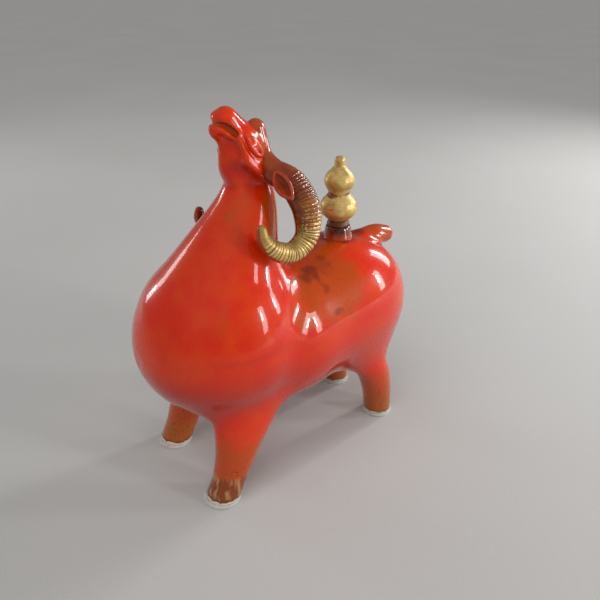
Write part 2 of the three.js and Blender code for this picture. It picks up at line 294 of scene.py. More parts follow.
nape = limb(on_head([(0, -21.4, 1.5, 9.3), (0, -22.8, 6, 9.6), (0, -23.6, 10, 8.6)]))
skull = ball([0, -20.5, 147], [8.2, 9.6, 8], -50)
muzzle = limb(on_head([(0, -21.5, 13.5, 6.8), (0, -28.7, 23.3, 4.7)]))
jaw = limb(on_head([(0, -23, 12, 5.5), (0, -32.9, 18.2, 2.6)]))
cheeks = pair(ball([5.2, -21.6, 143], [4, 4, 4]))
brows = pair(ball([5.6, -23.6, 152.4], [2.6, 2.6, 2.6]))
head = blend(3, blend(0.3, front_half, nape), skull, muzzle, jaw, cheeks, brows)

# %% Details that are added and cut away
def folds(rows):
    return pair(limb(on_head(rows)))


jaw_corner = pair(ball([7.3, -17, 139.4], [3, 3, 3.8]))
jaw_ridge = folds([
    (6.1, -27.2, 18.6, 1), (7.5, -27, 15.4, 1.5), (8.5, -26.7, 12, 2.1),
    (9.4, -25.2, 8, 2.5), (9.7, -22.1, 4, 2.4), (8.9, -19.6, 1.6, 2)])
lower_lip = folds([
    (0, -34.4, 20, 1.6), (2.1, -33.3, 20.1, 1.5), (3.5, -31.6, 19.3, 1.2),
    (4.8, -29.6, 17.3, 0.9), (6, -27.6, 16.9, 0.8), (6.4, -26.9, 18.2, 0.7)])
upper_lip = folds([
    (0, -32.4, 24, 1.9), (2.4, -31.7, 24.1, 1.9), (3.8, -30, 23.4, 1.7),
    (4.9, -28, 21, 1.3), (5.7, -26.6, 19.1, 0.9)])
under_chin = folds([
    (0, -37.2, 13.2, 1.8), (3.6, -35.4, 13.8, 2.4), (6.4, -32.2, 13.6, 2.6),
    (8.6, -29.8, 12, 2)])
under_jaw = folds([
    (5.6, -33.8, 8, 2.2), (8.6, -30.6, 4.2, 3.2), (11, -26.4, 0.8, 3.6),
    (11.8, -21.6, -2, 3)])
cheek_fold = folds([
    (8.2, -26.4, 19.4, 0.7), (9.4, -25.5, 15.4, 1), (10.5, -23.9, 11.6, 1.1),
    (11, -20.8, 8.8, 0.8)])
mouth_channel = folds([
    (0, -35.4, 21.9, 0.3), (2.3, -33.9, 22.2, 0.5), (3.7, -31.9, 22, 0.9),
    (5, -29.8, 20.3, 1.2), (6.1, -28, 18.4, 1.1)])
eye_socket = folds([
    (9, -24.4, 17, 0.6), (9.5, -23, 15.4, 1.3), (9.7, -21.8, 13.7, 1.5),
    (9.9, -20.6, 12, 1.2), (9.8, -19.5, 10.5, 0.6)])
eye_ball = folds([
    (8, -23.2, 15.5, 1.2), (8.3, -22, 13.8, 1.75), (8.5, -20.7, 12, 1.2)])
upper_lid = folds([
    (8, -24.8, 17.8, 0.5), (8.5, -22.6, 16.6, 0.85), (8.9, -20.7, 14.5, 0.95),
    (9.2, -19.2, 11.8, 0.8), (9.1, -18.8, 9.8, 0.5)])
lower_lid = folds([
    (8, -24.8, 17.8, 0.5), (9.1, -23.9, 14.8, 0.75), (9.6, -22.6, 12.4, 0.85),
    (9.7, -20.9, 10.4, 0.7), (9.1, -18.8, 9.8, 0.5)])
added = (jaw_corner, jaw_ridge, lower_lip, upper_lip)
head = blend(1.5, head, *added)
head = carve(3.5, head, under_chin, under_jaw)
head = carve(1, head, cheek_fold)
head = carve(0.6, head, mouth_channel, eye_socket)
head = blend(0.7, head, eye_ball, upper_lid, lower_lid)

# %% [markdown]
# ## One glazed skin
#
# The seams between the pieces vanish under slip and glaze. So copies of their solids are
# swollen a little, joined and remeshed into one skin. Then every point is pressed onto the
# forms. The head is moulded by itself from finer faces, with the mouth cut by a boolean, and
# then bridged to the neck.

# %% Helpers that make, join and settle meshes
@contextmanager
def opened(mesh):
    """Opens a mesh for work with bmesh, and writes it back at the end."""
    bm = bmesh.new()
    bm.from_mesh(mesh)
    yield bm
    bm.to_mesh(mesh)
    bm.free()


def new_piece(name, mesh_maker):
    mesh = bpy.data.meshes.new(name)
    with opened(mesh) as bm:
        mesh_maker(bm)
    mesh.shade_smooth()
    return add_object(name, mesh)


def settle(piece):
    """Applies the modifiers of a piece to its mesh."""
    made = bpy.data.meshes.new_from_object(
        piece.evaluated_get(bpy.context.evaluated_depsgraph_get()))
    piece.modifiers.clear()
    piece.data = made


def remesh(piece, size):
    step = piece.modifiers.new("remesh", "REMESH")
    step.mode = "VOXEL"
    step.voxel_size = size
    settle(piece)
    print(piece.name, "remeshed, faces:", len(piece.data.polygons))


def to_frame(bm):
    """From the sheep's millimetres to the frame's metres."""
    bmesh.ops.translate(bm, verts=bm.verts, vec=Vector(MIDDLE))
    bmesh.ops.scale(bm, verts=bm.verts, vec=(0.001, 0.001, 0.001))


def add_lump(bm, lump):
    """Copies one bmesh into another and frees it."""
    copy = bpy.data.meshes.new("copy")
    lump.to_mesh(copy)
    lump.free()
    bm.from_mesh(copy)
    bpy.data.meshes.remove(copy)


def cut_away(piece, tool):
    step = piece.modifiers.new("cut", "BOOLEAN")
    step.operation = "DIFFERENCE"
    step.object = tool
    settle(piece)
    bpy.data.objects.remove(tool)


# %% Helpers that press points onto a form
def slope(form, p, step=0.02):
    total = np.zeros_like(p)
    for corner in ((1, -1, -1), (-1, -1, 1), (-1, 1, -1), (1, 1, 1)):
        way = np.array(corner, float)
        total += way * form(p + way * step)[:, None]
    return total / (4 * step)


def points_of(mesh):
    flat = np.empty(len(mesh.vertices) * 3)
    mesh.vertices.foreach_get("co", flat)
    return flat.reshape(-1, 3) * 1000 - MIDDLE


def set_points(mesh, p):
    mesh.vertices.foreach_set("co", ((p + MIDDLE) / 1000).ravel())
    mesh.update()


def press(p, form, rounds, most=0.6, least_slope=0.2):
    """Moves the points down the slope of the field, to where it is nought."""
    for _ in range(rounds):
        way = slope(form, p)
        gap = np.clip(form(p), -most, most)
        p = p - way * (gap / np.maximum((way**2).sum(1), least_slope))[:, None]
    return p


def around(mesh):
    """A function that takes a value for every point to its mean over the neighbours."""
    flat = np.empty(len(mesh.edges) * 2, np.int64)
    mesh.edges.foreach_get("vertices", flat)
    a, b = flat.reshape(-1, 2).T
    count = np.bincount(flat)

    def mean(v):
        return (np.bincount(a, v[b], len(v)) + np.bincount(b, v[a], len(v))) / count

    return mean


def even_out(p, mesh):
    """Draws every point half way to the middle of its neighbours."""
    mean = around(mesh)
    return (p + np.stack([mean(p[:, k]) for k in range(3)], 1)) / 2


first_presses, evenings, near_enough = 4, 3, 0.05


def press_piece(piece, form):
    """Presses a piece onto a form, and evens out its points on the way."""
    points = press(points_of(piece.data), form, first_presses)
    for _ in range(evenings):
        points = press(even_out(points, piece.data), form, 2)
    off = np.abs(form(points)) > near_enough
    print(piece.name, "points off the form:", int(off.sum()), "of", len(points))
    set_points(piece.data, points)


# %% Mould the body
glazed_nodes = [
    "chest_and_neck", "hind_body", "tail",
    "leg_front_left", "leg_front_right", "leg_rear_left", "leg_rear_right"]
swelling, body_voxel = 0.0004, 0.001
collar_low, collar_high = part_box("collar")
flask_y, rim = (collar_low.y + collar_high.y) / 2, collar_high.z
collar_tall = 0.006
back_z = rim - collar_tall
stop_r, stop_long, stop_sunk = 0.006, 0.012, 0.0002
worked_from = 126


def lute_copies(bm):
    """Swollen copies of the solids, and a stop in the mouth of the flask."""
    for name in glazed_nodes:
        part = bmesh.new()
        part.from_mesh(nodes[name].data)
        bmesh.ops.remove_doubles(part, verts=part.verts, dist=1e-6)
        bmesh.ops.recalc_face_normals(part, faces=part.faces)
        part.normal_update()
        for vert in part.verts:
            vert.co += vert.normal * swelling
        add_lump(bm, part)
    stop = bmesh.ops.create_cone(
        bm, cap_ends=True, segments=24, radius1=stop_r, radius2=stop_r, depth=stop_long)
    stop_z = back_z - stop_long / 2 - stop_sunk
    bmesh.ops.translate(bm, verts=stop["verts"], vec=(0, flask_y, stop_z))


def whole(p):
    """The body up to the middle of the neck, and the worked head above."""
    made = np.empty(len(p))
    high = p[:, 2] > worked_from
    made[high] = head(p[high])
    made[~high] = body(p[~high])
    return made


sheep = new_piece("glazed_sheep", lute_copies)
remesh(sheep, body_voxel)
press_piece(sheep, whole)


# %% Mould the head
def pour(forms):
    """Rough lumps of the forms, one over the other."""
    def make(bm):
        for form in forms:
            lump = bmesh.new()
            form.mould(lump)
            add_lump(bm, lump)
        to_frame(bm)

    return make


rough_voxel, fine_voxel = 0.0005, 0.0003
neck_stub = limb([(0, -20.6, 133, 9.6), (0, -21, 137, 9.3)])
head_piece = new_piece("head_mass", pour([
    neck_stub, nape, skull, muzzle, jaw, cheeks, brows, *added]))
remesh(head_piece, rough_voxel)
hollows = new_piece("hollows", pour([mouth_channel, eye_socket, under_chin, under_jaw]))
remesh(hollows, fine_voxel)
cut_away(head_piece, hollows)
eyes = new_piece("eyes", pour([eye_ball, upper_lid, lower_lid]))
with opened(head_piece.data) as bm:
    bm.from_mesh(eyes.data)
bpy.data.objects.remove(eyes)
remesh(head_piece, fine_voxel)
press_piece(head_piece, whole)
points = points_of(head_piece.data)
for _ in range(2):
    points = even_out(points, head_piece.data)
set_points(head_piece.data, points)


# %% Bridge the head to the neck
neck_end, head_start = 0.1335, 0.134


def part_at(mesh, height, keep_above):
    with opened(mesh) as bm:
        bmesh.ops.bisect_plane(
            bm, geom=bm.verts[:] + bm.edges[:] + bm.faces[:], dist=1e-7,
            plane_co=(0, 0, height), plane_no=(0, 0, 1),
            clear_outer=not keep_above, clear_inner=keep_above)


part_at(sheep.data, neck_end, False)
part_at(head_piece.data, head_start, True)
with opened(sheep.data) as bm:
    bm.from_mesh(head_piece.data)
    open_edges = [e for e in bm.edges if e.is_boundary]
    print("open edges to bridge:", len(open_edges))
    bmesh.ops.bridge_loops(bm, edges=open_edges)
    bmesh.ops.triangulate(bm, faces=[f for f in bm.faces if len(f.verts) > 4])
    print("edges still open:", sum(e.is_boundary for e in bm.edges))
    bmesh.ops.recalc_face_normals(bm, faces=bm.faces)
bpy.data.objects.remove(head_piece)

# %% Drill the mouth of the flask
bore_r, bore_deep = 0.00434, 0.01


def drill(bm):
    made = bmesh.ops.create_cone(
        bm, cap_ends=True, segments=48, radius1=bore_r, radius2=bore_r, depth=2 * bore_deep)
    bmesh.ops.translate(bm, verts=made["verts"], vec=(0, flask_y, back_z))


cut_away(sheep, new_piece("drill", drill))
print("faces after the bore:", len(sheep.data.polygons))


# %% Sweep up the crumbs that a remesh leaves
def sweep_up(mesh):
    """Deletes everything that isn't joined to the largest lump."""
    with opened(mesh) as bm:
        left, lumps = set(bm.verts), []
        while left:
            reach = {left.pop()}
            lump = set(reach)
            while reach:
                reach = {edge.other_vert(v) for v in reach for edge in v.link_edges} & left
                left -= reach
                lump |= reach
            lumps.append(lump)
        lumps.sort(key=len)
        bmesh.ops.delete(bm, geom=[v for lump in lumps[:-1] for v in lump], context="VERTS")
    print("crumbs swept up:", len(lumps) - 1)


sweep_up(sheep.data)

# %% Keep the skin inside the solids' box and on its feet
points = points_of(sheep.data)
low_corner = np.array(cad_low) * 1000 - MIDDLE
high_corner = np.array(cad_high) * 1000 - MIDDLE
outside = np.maximum(points - high_corner, low_corner - points).max()
print("furthest point outside the CAD box, mm:", round(float(outside), 2))
inside = 0.01
points = np.clip(points, low_corner + inside, high_corner - inside)
foot_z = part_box("leg_front_left")[0].z * 1000
points[:, 2] = np.maximum(points[:, 2], foot_z)
set_points(sheep.data, points)
sheep.data.shade_smooth()
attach(sheep, "sheep")
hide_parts(*glazed_nodes, "head")
print("faces of the skin:", len(sheep.data.polygons))


# %% [markdown]
# ## Paint on the skin
#
# The glaze isn't one red. It runs thin and orange on the tail, the lower legs and the back of
# the neck, and is stained brown on the saddle and round the collar. An airbrush does this on
# real ware. Here a spot of paint is a number for every point of the skin, kept in an attribute
# that the material reads later. The paint also carries painted shade, a darker red on the faces
# that look down under the chest and belly and under the jaw, and a painted shadow that the tip
# of the horn casts on the neck.

# %% Airbrush helpers
def ease(value, low, high):
    """Nought below low, one above high, and a soft step between."""
    share = np.clip((value - low) / (high - low), 0, 1)
    return share * share * (3 - 2 * share)


def airbrush(points, spots):
    """How much paint lies on each point, on both sides alike.

    A spot is a place x, y, z, its reach along each axis, and its strength."""
    near = np.abs(points) * (1, 0, 0) + points * (0, 1, 1)
    paint = np.zeros(len(points))
    for *place, along_x, along_y, along_z, strength in spots:
        off = (near - place) / (along_x, along_y, along_z)
        paint = np.maximum(paint, strength * (1 - ease(np.sqrt((off**2).sum(1)), 0.5, 1.3)))
    return paint


def keep_paint(piece, name, paint):
    layer = piece.data.attributes.new(name, "FLOAT", "POINT")
    layer.data.foreach_set("value", np.clip(paint, 0, 1).astype(np.float32))
    print(piece.name, name, "mean", round(float(np.mean(paint)), 3))


def normals_of(mesh):
    flat = np.empty(len(mesh.vertices) * 3)
    mesh.vertices.foreach_get("normal", flat)
    return flat.reshape(-1, 3)


# %% How sharply the skin bends
def bend_of(mesh, rounds):
    """One over the radius in mm: above nought on edges and below it in hollows."""
    points, mean = points_of(mesh), around(mesh)
    middle = np.stack([mean(points[:, k]) for k in range(3)], 1)
    square = sum(
        mean(points[:, k] ** 2) - 2 * points[:, k] * middle[:, k] + points[:, k] ** 2
        for k in range(3))
    sunk = ((points - middle) * normals_of(mesh)).sum(1)
    bend = 2 * sunk / np.maximum(square, 1e-6)
    for _ in range(rounds):
        bend = (bend + mean(bend)) / 2
    return bend


bend = bend_of(sheep.data, 24)
keep_paint(sheep, "edge", ease(bend, 0.16, 0.7))
keep_paint(sheep, "hollow", ease(-bend, 0.03, 0.3))

# %% Where the glaze is thin
skin = points_of(sheep.data)
height = skin[:, 2]
in_mouth = np.exp(-np.maximum(mouth_channel(skin), 0) ** 2 / 0.5)
spots = [
    (22, 5, 87, 18, 21, 20, 0.55), (0, 8, 99, 18, 22, 9, 0.6), (0, 54, 94, 9, 14, 8, 0.6),
    (14, -16, 118, 6, 8, 26, 0.5), (9, -30, 124, 8, 8, 13, 0.32), (5, -13, 150, 8, 8, 9, 0.65),
    (30, -14, 84, 6, 7, 12, 0.4), (8, -22, 143, 5, 5, 6, 0.3), (25, -52, 90, 8, 8, 14, 0.2)]
thin = np.maximum.reduce([
    airbrush(skin, spots), 0.6 * in_mouth, 0.5 * ease(-height, -40, -22),
    0.5 + 0.5 * ease(-height, -22, -6) - (height > 22)])
keep_paint(sheep, "thin", thin)

# %% Burnt brown stains, a painted shadow under the horn tip, painted shade below, and the bare foot
from_collar = np.hypot(skin[:, 0], skin[:, 1] + MIDDLE[1] - flask_y * 1000)
ring = np.exp(-(np.maximum(from_collar - 7, 0) / 2.6) ** 2) * ease(height, 90, 95)
in_socket = np.exp(-np.maximum(eye_socket(skin), 0) ** 2 / 0.03)
# Brown stains on the saddle, the flank and the back towards the tail. The spot at 16.5, -33,
# 115.5 is a painted shadow that the tip of the horn casts on the neck.
spots = [
    (14, -1, 94, 12, 7, 9, 0.55), (14, 7, 94.5, 8, 6, 6, 0.45),
    (23.5, 2.5, 88, 3.4, 3, 3, 0.4), (29.7, 5.6, 78.2, 2.4, 3.8, 1.8, 0.55),
    (16.5, -33, 115.5, 5, 5, 2.6, 0.35), (0, 39, 97, 4, 7, 3, 0.6)]
stains_and_shadow = np.maximum.reduce([
    airbrush(skin, spots), 0.95 * ring, 0.25 * in_mouth,
    0.4 * in_socket * ease(eye_ball(skin), 0.1, 0.5)])
keep_paint(sheep, "stains_and_shadow", stains_and_shadow)

# Painted shade: the red is darkened on faces that look down, under the chest and belly, and in
# a spot under the jaw.
facing_down = -normals_of(sheep.data)[:, 2]
underside_shade = ease(facing_down, -0.1, 0.5) * ease(height, 30, 44) * ease(-height, -104, -80)
underside_shade = np.maximum(underside_shade, airbrush(skin, [(7, -29, 141, 7, 6, 4, 0.5)]))
keep_paint(sheep, "underside_shade", underside_shade)
left_front = np.hypot(skin[:, 0] - 26, skin[:, 1] + 53) < 16
keep_paint(sheep, "bare_foot", np.where(left_front, ease(-height, -15, -12), 0))

# %% [markdown]
# ## The horns
#
# Each horn is a roll of clay, ribbed with a blade and bent round in the air. A ring of points
# is extruded step by step along its line, and each step turns, shifts and scales the new ring.
# Then the ribs are pushed out: round ridges with narrow grooves, that fade on the inner side
# of the curl. Attributes keep how far along a point is, which way it faces from the curl, and
# how high it is on its rib, because glaze and gilding follow these.

# %% The line of a horn
horn_row = on_head([
    (1.6, -16.6, 18.4, 4), (2.8, -16, 13.5, 3.8), (5, -15.7, 8, 4.1), (10, -14.3, 3.3, 5),
    (16, -10.8, 0, 5.6), (21, -9, -5, 5.8), (24.5, -8.3, -11.5, 5.6), (26, -10, -20.5, 4.7),
    (26, -16.5, -25.2, 4.2), (25.5, -24, -23.2, 4), (24, -28.3, -18.2, 2.8),
    (23, -28.6, -14.4, 2)])
right_tip, right_root = (3, -1.5, -6), (-0.3, 0.3, -1.6)
curl_middle = np.array([24, -18.5, neck_cut - 15])
ribs, first_rib, last_rib, rib_height = 39, 0.3, 0.95, 0.34
horn_sides, steps_per_rib = 32, 8
ribs_end, ribs_fade = -0.8, 0.5  # on the inner side of the curl, where outward is -1


def horn_line(side):
    """The left horn as it was measured. The right one hangs lower at its tip."""
    row = []
    for i, (x, y, z, r) in enumerate(horn_row):
        to_tip = i / (len(horn_row) - 1) if side < 0 else 0
        to_root = max(0, 1 - 4 * to_tip) if side < 0 else 0
        out, forward, down = (
            to_tip * tip + to_root * root for tip, root in zip(right_tip, right_root))
        row.append((side * (x + out), y + forward, z + down, r))
    line = smooth_line(row, 40)
    steps = np.linalg.norm(np.diff(line[:, :3], axis=0), axis=1)
    run = np.concatenate([[0], np.cumsum(steps)])
    return line, run / run[-1]


def horn_stops():
    """Shares of the length, with how far past the end a ring lies, and how wide."""
    caps = [math.radians(v) for v in (84, 70, 56, 42, 28, 14)]
    stops = [(0, -math.sin(v), math.cos(v)) for v in caps]
    plain = np.linspace(0, first_rib, 30)
    ribbed = np.linspace(first_rib, last_rib, ribs * steps_per_rib + 1)[1:]
    smooth = np.linspace(last_rib, 1, 16)[1:]
    stops += [(float(v), 0, 1) for v in (*plain, *ribbed, *smooth)]
    return stops + [(1, math.sin(v), math.cos(v)) for v in reversed(caps)]


# %% Sweep the horns
def crest(share, towards_tip=0.32):
    """From -1 in a groove to 1 on top of a rib, and nought where there is none."""
    if not first_rib < share < last_rib:
        return 0
    fade = min((share - first_rib) / 0.06, (last_rib - share) / towards_tip, 1)
    phase = (share - first_rib) / (last_rib - first_rib) * ribs
    by_hand = 0.85 + 0.15 * math.sin(2.7 * phase)
    phase += 0.16 * math.sin(1.3 * phase) + 0.08 * math.sin(4.1 * phase)
    return fade * by_hand * (2 * abs(math.sin(math.pi * phase)) ** 0.7 - 1)


def horn_frames(side):
    """For every ring its share of the length, its centre, its way and its full placing."""
    line, run = horn_line(side)
    up, frames, reach = Vector((0, 0, 1)), [], 0.004
    for share, past, round_off in horn_stops():
        place = [np.interp(share, run, line[:, k]) for k in range(4)]
        ahead = [np.interp(share + reach, run, line[:, k]) for k in range(3)]
        behind = [np.interp(share - reach, run, line[:, k]) for k in range(3)]
        way = (Vector(ahead) - Vector(behind)).normalized()
        centre = (Vector(place[:3]) + way * past * place[3] + Vector(MIDDLE)) / 1000
        up = (up - way * up.dot(way)).normalized()
        turn = Matrix((up.cross(way), up, way)).transposed().to_4x4()
        placing = Matrix.Translation(centre) @ turn @ Matrix.Scale(
            place[3] * round_off / 1000, 4)
        frames.append((share, centre, way, placing))
    return frames


def sweep_horn(side):
    def make(bm):
        layer = {
            word: bm.verts.layers.float.new(word)
            for word in ("along", "outward", "sideways", "crest")}
        middle = Vector(curl_middle * (side, 1, 1) + MIDDLE) / 1000
        ring = bmesh.ops.create_circle(
            bm, segments=horn_sides, radius=1, cap_ends=True)["verts"]
        loop, before, rings = list(bm.edges), Matrix.Identity(4), []
        for i, (share, centre, way, here) in enumerate(horn_frames(side)):
            if i:
                grown = bmesh.ops.extrude_edge_only(bm, edges=loop)["geom"]
                ring = [g for g in grown if isinstance(g, bmesh.types.BMVert)]
                loop = [
                    g for g in grown if isinstance(g, bmesh.types.BMEdge)
                    and g.verts[0] in ring and g.verts[1] in ring]
            bmesh.ops.transform(bm, matrix=here @ before.inverted(), verts=ring)
            before = here
            rings.append((ring, share, centre, way))
        bmesh.ops.contextual_create(bm, geom=loop)
        for ring, share, centre, way in rings:
            out = centre - middle
            out = (out - way * out.dot(way)).normalized()
            for vert in ring:
                off = (vert.co - centre).normalized()
                outward = off.dot(out)
                shown = min(1, max(0, (outward - ribs_end) / ribs_fade))
                vert.co += off * crest(share) * rib_height / 1000 * shown
                vert[layer["along"]] = share
                vert[layer["outward"]] = outward
                vert[layer["sideways"]] = off.x * side
                vert[layer["crest"]] = crest(share, 0.06) * shown
        bmesh.ops.triangulate(bm, faces=[f for f in bm.faces if len(f.verts) > 4])
        bmesh.ops.recalc_face_normals(bm, faces=bm.faces)

    return make


horns = {}
for side, word in ((1, "left"), (-1, "right")):
    horn = new_piece(f"ribbed_horn_{word}", sweep_horn(side))
    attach(horn, "sheep")
    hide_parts(f"horn_{word}")
    horns[word] = horn
    print(horn.name, "faces:", len(horn.data.polygons))


# %% [markdown]
# ## The ears
#
# An ear is a small leaf of clay, pinched hollow with a finger, that lies along the horn. A ball
# is flattened to a leaf, its upper face is pressed in, and its ends are drawn to points.

# %% Shape the ears
half_long, half_wide, half_thick, curl, pointed = 7, 3.5, 1.7, 1.2, 0.35
dip, dip_long, dip_wide = 3.4, 0.84, 0.66
ear_middle = (20.1, -16.3, neck_cut + 0.2)
ear_turns = [math.radians(v) for v in (62, 38, 6)]


def ear_leaf(side):
    def make(bm):
        bmesh.ops.create_uvsphere(bm, u_segments=40, v_segments=28, radius=1)
        bmesh.ops.rotate(bm, verts=bm.verts, matrix=Matrix.Rotation(math.pi / 2, 3, "Y"))
        for vert in bm.verts:
            x, y, z = vert.co
            narrow = 1 - pointed * abs(x) ** 3
            hollow = max(0.0, 1 - (abs(x) / dip_long) ** 2.2 - (abs(y) / dip_wide) ** 1.5)
            sunk = dip * hollow ** 0.9 if z > 0 else 0
            vert.co = (
                half_long * x, half_wide * y * narrow,
                half_thick * z - sunk + curl * y * y)
        tip, swing, yaw = ear_turns
        turn = (
            Matrix.Rotation(yaw, 3, "Z") @ Matrix.Rotation(swing, 3, "Y")
            @ Matrix.Rotation(tip, 3, "X"))
        bmesh.ops.rotate(bm, verts=bm.verts, matrix=turn)
        bmesh.ops.translate(bm, verts=bm.verts, vec=ear_middle)
        bmesh.ops.scale(bm, verts=bm.verts, vec=(side, 1, 1))
        to_frame(bm)
        bmesh.ops.recalc_face_normals(bm, faces=bm.faces)

    return make


ears = []
for side, word in ((1, "left"), (-1, "right")):
    ear = new_piece(f"leaf_ear_{word}", ear_leaf(side))
    ears.append(ear)
    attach(ear, "sheep")
    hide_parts(f"ear_{word}")


# %% [markdown]
# ## Collar, gourd and feet
#
# These are round about an upright line, so each is an outline that is spun. The gourd's is
# smoothed first. It keeps its plug, which sits in the bore of the collar.

# %% Spin the round pieces
def spin_outline(outline, sides, centre):
    def make(bm):
        verts = [bm.verts.new((max(r, 0) / 1000, 0, z / 1000)) for r, z in outline]
        rim_edges = [bm.edges.new(pair_of) for pair_of in zip(verts, verts[1:])]
        bmesh.ops.spin(
            bm, geom=verts + rim_edges, cent=(0, 0, 0), axis=(0, 0, 1),
            angle=2 * math.pi, steps=sides, use_merge=True, use_duplicate=False)
        bmesh.ops.remove_doubles(bm, verts=bm.verts, dist=2e-6)
        bmesh.ops.recalc_face_normals(bm, faces=bm.faces)
        bmesh.ops.translate(bm, verts=bm.verts, vec=centre)

    return make


rim_mm, seat = rim * 1000, rim * 1000 + 0.3
plug_outline = [(0, -8), (3.7, -8), (3.9, -7.8), (3.9, -4), (3.9, -0.05)]
plug = [(r, seat + z) for r, z in plug_outline]
gourd_outline = [
    (5.3, 0), (5.2, 1.1), (4.7, 2.3), (6, 3.7), (8.2, 6.1), (8.7, 8.5), (8, 11.3), (6, 13.7),
    (4.9, 15.1), (5.4, 16.9), (6.6, 19.1), (6.9, 21.3), (5.8, 24.1), (3.7, 26.3), (2.5, 27.8),
    (2.45, 29.4), (2.35, 30.6), (1.7, 31.6), (0.8, 31.93), (0, 31.96)]
above = smooth_line([(r, 0, seat + z, 0) for r, z in gourd_outline])[:, [0, 2]]
gourd = new_piece(
    "gilded_gourd", spin_outline([*plug, *above], 64, (0, flask_y, 0)))
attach(gourd, "stopper")
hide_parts("gourd_stopper")

collar_outline = [(r, rim_mm - below) for r, below in (
    (4.32, 14), (7.1, 14), (7.15, 6.2), (6.7, 4.6), (6.3, 3), (6.05, 1.6), (5.8, 0.6),
    (5.5, 0.1), (5.1, 0), (4.6, 0.1), (4.34, 0.5), (4.3, 1.2), (4.32, 14))]
collar_piece = new_piece(
    "flask_collar", spin_outline(collar_outline, 64, (0, flask_y, 0)))
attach(collar_piece, "sheep")
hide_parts("collar")

# %% Foot pads
foot_pieces = []
for word in ("front_left", "front_right", "rear_left", "rear_right"):
    low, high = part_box(f"foot_pad_{word}")
    r, top = (high.x - low.x) * 500, high.z * 1000
    outline = [
        (0, 0.02), (r - 0.6, 0.02), (r - 0.15, 0.15), (r - 0.02, 0.5), (r - 0.02, top - 0.5),
        (r - 0.15, top - 0.1), (r - 0.6, top), (0, top)]
    middle = (low + high) / 2
    pad = new_piece(
        f"felt_pad_{word}", spin_outline(outline, 56, (middle.x, middle.y, 0)))
    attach(pad, "sheep")
    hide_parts(f"foot_pad_{word}")
    foot_pieces.append(pad)


# %% [markdown]
# ## Words for materials
#
# A finish is made of a few kinds of node, used again and again: a cloudy noise of a size in
# millimetres, a painted attribute, a soft step between two values, a mix of two colours, and a
# relief. The helper below gives each a short word, so that a finish reads like a recipe: it
# starts from one colour, and others are laid over it.

# %% Nodes and what feeds them
def feed(tree, socket, value):
    """Gives a socket a link from another node, a colour, or a plain value."""
    if isinstance(value, bpy.types.NodeSocket):
        tree.links.new(value, socket)
    elif isinstance(value, tuple):
        socket.default_value = (*value, 1)
    else:
        socket.default_value = value


def add_node(tree, kind, feeds=(), **settings):
    """Adds a node, and feeds its sockets by name or number. What comes back is its outputs."""
    made = tree.nodes.new("ShaderNode" + kind)
    for setting, value in settings.items():
        setattr(made, setting, value)
    for socket, value in dict(feeds).items():
        feed(tree, made.inputs[socket], value)
    return made.outputs


def soft_step(tree, value, low, high, at_low, at_high):
    return add_node(
        tree, "MapRange", enumerate((value, low, high, at_low, at_high)),
        interpolation_type="SMOOTHSTEP")[0]


# %% The finish helper
class Finish:
    def __init__(self, name, colour, **same_all_over):
        self.material = bpy.data.materials.new(name)
        self.material.use_nodes = True
        self.tree = self.material.node_tree
        self.place = self.node("TexCoord")["Object"]
        self.colour = colour
        self.use(**same_all_over)

    def node(self, kind, feeds=(), **settings):
        return add_node(self.tree, kind, feeds, **settings)

    def times(self, a, b):
        return self.node("Math", {0: a, 1: b}, operation="MULTIPLY")[0]

    def plus(self, a, b):
        return self.node("Math", {0: a, 1: b}, operation="ADD")[0]

    def noise(self, size, detail=3.0, rough=0.5, stretch=(1, 1, 1), shift=0.0, warp=0.0):
        """Clouds about so many millimetres across, longer along an axis by its stretch."""
        centre = self.node("Mapping", {
            "Vector": self.place, "Location": [shift] * 3,
            "Scale": [1000 / (size * s) for s in stretch]})
        return self.node("TexNoise", {
            "Vector": centre[0], "Scale": 1, "Detail": detail, "Roughness": rough,
            "Distortion": warp})[0]

    def painted(self, name, strength=1):
        paint = self.node("Attribute", attribute_name=name)["Fac"]
        return paint if strength == 1 else self.times(paint, strength)

    def height(self):
        """Millimetres above the table."""
        return self.times(self.node("SeparateXYZ", {0: self.place})["Z"], 1000)

    def step(self, value, low, high, at_low=0.0, at_high=1.0):
        """A soft step from one value to another."""
        return soft_step(self.tree, value, low, high, at_low, at_high)

    def mixed(self, share, below, above):
        return self.node("Mix", {0: share, 6: below, 7: above}, data_type="RGBA")[2]

    def lay(self, share, above):
        """Lays a colour over the one so far."""
        self.colour = self.mixed(share, self.colour, above)

    def relief(self, height, amount, under=None):
        """Bumps of so many millimetres, on top of those under them."""
        feeds = {"Distance": amount / 1000, "Height": height}
        if under is not None:
            feeds["Normal"] = under
        return self.node("Bump", feeds)[0]

    def use(self, **sockets):
        shader = self.tree.nodes["Principled BSDF"]
        for socket, value in sockets.items():
            feed(self.tree, shader.inputs[socket.replace("_", " ")], value)

    def put_on(self, *pieces):
        self.use(Base_Color=self.colour)
        for piece in pieces:
            piece.data.materials.clear()
            piece.data.materials.append(self.material)
        print(self.material.name, "nodes:", len(self.tree.nodes))
